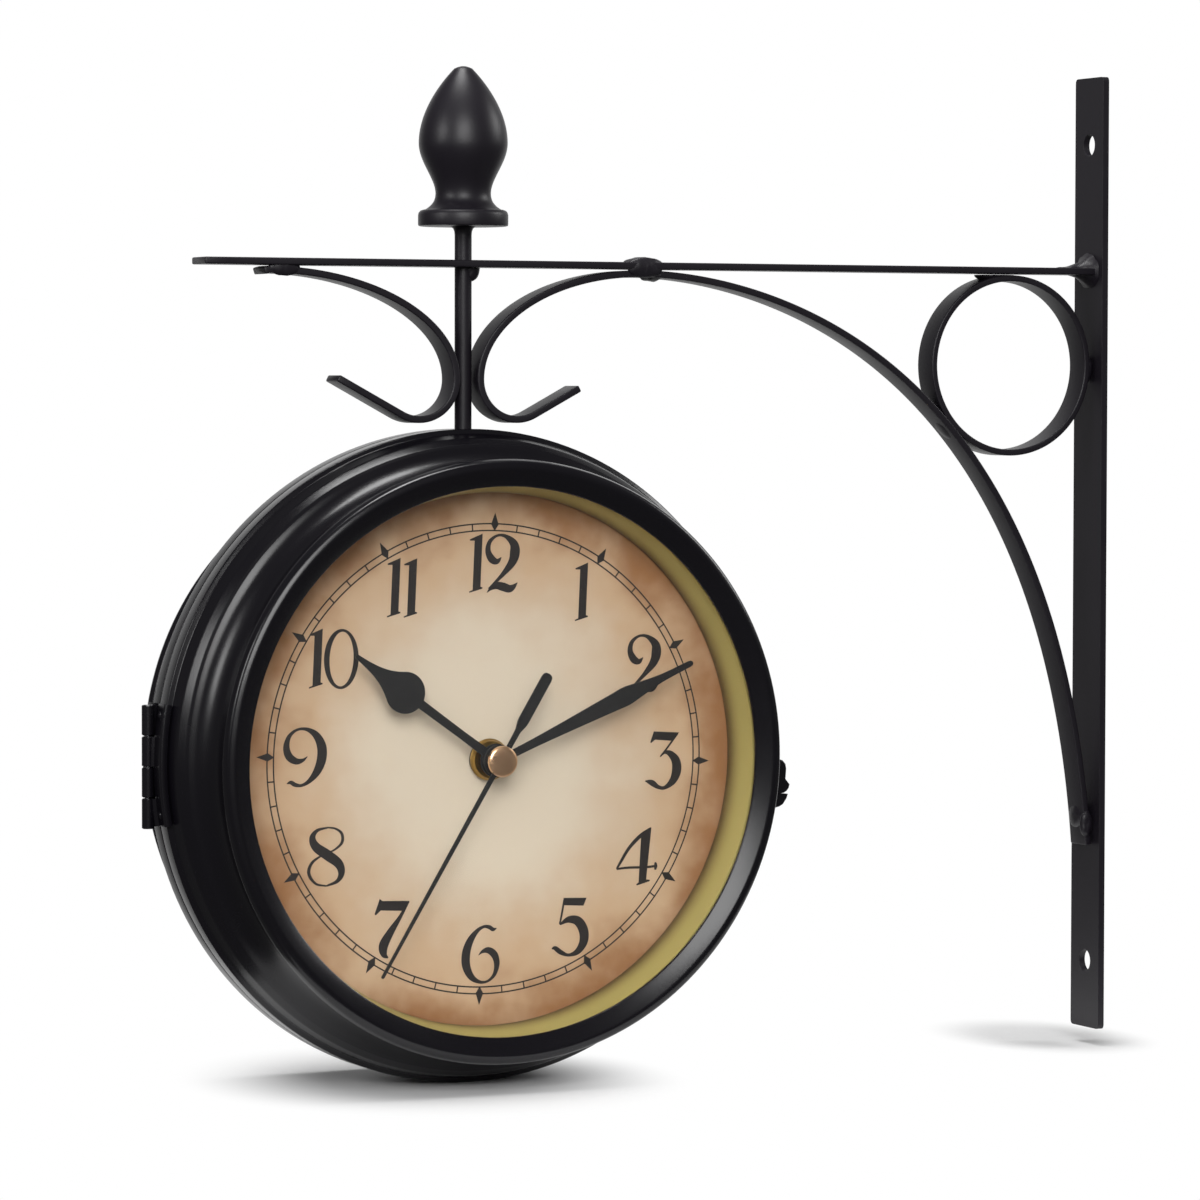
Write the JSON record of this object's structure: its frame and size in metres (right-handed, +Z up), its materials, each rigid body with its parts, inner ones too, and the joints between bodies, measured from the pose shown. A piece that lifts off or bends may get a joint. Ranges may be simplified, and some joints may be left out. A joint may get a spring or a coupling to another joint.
{
  "type": "double sided wall bracket clock",
  "caption": "Round clock with a dial on both sides, hung from a scrolled wall bracket with a finial; the hinged halves open at a side latch.",
  "frame": {"origin": "centre of the wall plate's back face, which lies against the wall", "axes": "+X points into the wall and the bracket reaches out to -X; the front dial faces -Y and the rear dial +Y; +Z is up"},
  "size_m": [0.331, 0.076, 0.3175],
  "materials": {
    "satin_black": "satin black powder coat over steel",
    "hand_black": "matt black paint",
    "dial_card": "printed card, parchment colours",
    "gold_plastic": "satin olive gold",
    "glass": "clear, polished",
    "black_plastic": "moulded, fine texture",
    "brass": "turned",
    "copper": "satin copper plate",
    "zinc": "bright zinc plate",
    "rubber": "matt",
    "battery_jacket": "plain printed sleeve"
  },
  "bodies": {
    "bracket": {"wall_plate": "satin_black", "arm_bar": "satin_black", "arch_brace": "satin_black", "left_scroll": "satin_black", "brace_ring": "satin_black", "hanger_rod": "satin_black", "finial": "satin_black", "rod_nut": "zinc", "rear_shell": "satin_black", "rear_lens": "glass", "rear_reflector": "gold_plastic", "rear_dial": "dial_card", "rear_movement_case": "black_plastic", "rear_battery": "battery_jacket", "rear_stem_bush": "brass", "rear_stem_washer": "rubber", "rear_stem_nut": "brass", "hinge_leaf_rear": "satin_black", "hinge_pin": "zinc", "latch_catch": "satin_black"},
    "door": {"front_shell": "satin_black", "front_lens": "glass", "front_reflector": "gold_plastic", "front_dial": "dial_card", "front_movement_case": "black_plastic", "front_battery": "battery_jacket", "front_stem_bush": "brass", "front_stem_washer": "rubber", "front_stem_nut": "brass", "hinge_leaf_front": "satin_black", "latch_base": "satin_black", "latch_pin": "zinc"},
    "latch_lever": {"latch_lever": "satin_black"},
    "latch_bail": {"latch_bail": "zinc"},
    "front_hour": {"front_hour_tube": "black_plastic", "front_hour_hand": "hand_black"},
    "front_minute": {"front_minute_arbor": "brass", "front_minute_hand": "hand_black"},
    "front_second": {"front_second_hand": "hand_black", "front_second_cap": "copper"},
    "front_knob": {"front_set_knob": "black_plastic"},
    "rear_hour": {"rear_hour_tube": "black_plastic", "rear_hour_hand": "hand_black"},
    "rear_minute": {"rear_minute_arbor": "brass", "rear_minute_hand": "hand_black"},
    "rear_second": {"rear_second_hand": "hand_black", "rear_second_cap": "copper"},
    "rear_knob": {"rear_set_knob": "black_plastic"}
  },
  "joints": [
    {"name": "door_hinge", "type": "hinge", "parent": "bracket", "child": "door", "pos_m": [-0.3291, 0, -0.0607], "axis": [0, 0, -1], "range_deg": [0, 120]},
    {"name": "latch_lever_hinge", "type": "hinge", "parent": "door", "child": "latch_lever", "pos_m": [-0.12062, -0.0036, -0.06825], "axis": [0.0785, 0, 0.9969], "range_deg": [0, 150]},
    {"name": "latch_bail_hinge", "type": "hinge", "parent": "latch_lever", "child": "latch_bail", "pos_m": [-0.12092, -0.0074, -0.06822], "axis": [0.0785, 0, 0.9969], "range_deg": [-150, 0]},
    {"name": "front_hour_spin", "type": "hinge", "parent": "door", "child": "front_hour", "pos_m": [-0.2254, 0, -0.06], "axis": [0, 1, 0], "continuous": true},
    {"name": "front_minute_spin", "type": "hinge", "parent": "door", "child": "front_minute", "pos_m": [-0.2254, 0, -0.06], "axis": [0, 1, 0], "continuous": true},
    {"name": "front_second_spin", "type": "hinge", "parent": "door", "child": "front_second", "pos_m": [-0.2254, 0, -0.06], "axis": [0, 1, 0], "continuous": true},
    {"name": "front_knob_spin", "type": "hinge", "parent": "door", "child": "front_knob", "pos_m": [-0.2124, 0, -0.048], "axis": [0, 1, 0], "continuous": true},
    {"name": "rear_hour_spin", "type": "hinge", "parent": "bracket", "child": "rear_hour", "pos_m": [-0.2254, 0, -0.06], "axis": [0, -1, 0], "continuous": true},
    {"name": "rear_minute_spin", "type": "hinge", "parent": "bracket", "child": "rear_minute", "pos_m": [-0.2254, 0, -0.06], "axis": [0, -1, 0], "continuous": true},
    {"name": "rear_second_spin", "type": "hinge", "parent": "bracket", "child": "rear_second", "pos_m": [-0.2254, 0, -0.06], "axis": [0, -1, 0], "continuous": true},
    {"name": "rear_knob_spin", "type": "hinge", "parent": "bracket", "child": "rear_knob", "pos_m": [-0.2384, 0, -0.048], "axis": [0, -1, 0], "continuous": true}
  ],
  "couplings": [
    {"joint": "latch_bail_hinge", "follows": "latch_lever_hinge", "ratio": -1},
    {"joint": "front_hour_spin", "follows": "front_minute_spin", "ratio": 0.083333},
    {"joint": "front_knob_spin", "follows": "front_minute_spin", "ratio": -3},
    {"joint": "rear_hour_spin", "follows": "rear_minute_spin", "ratio": 0.083333},
    {"joint": "rear_knob_spin", "follows": "rear_minute_spin", "ratio": -3}
  ]
}
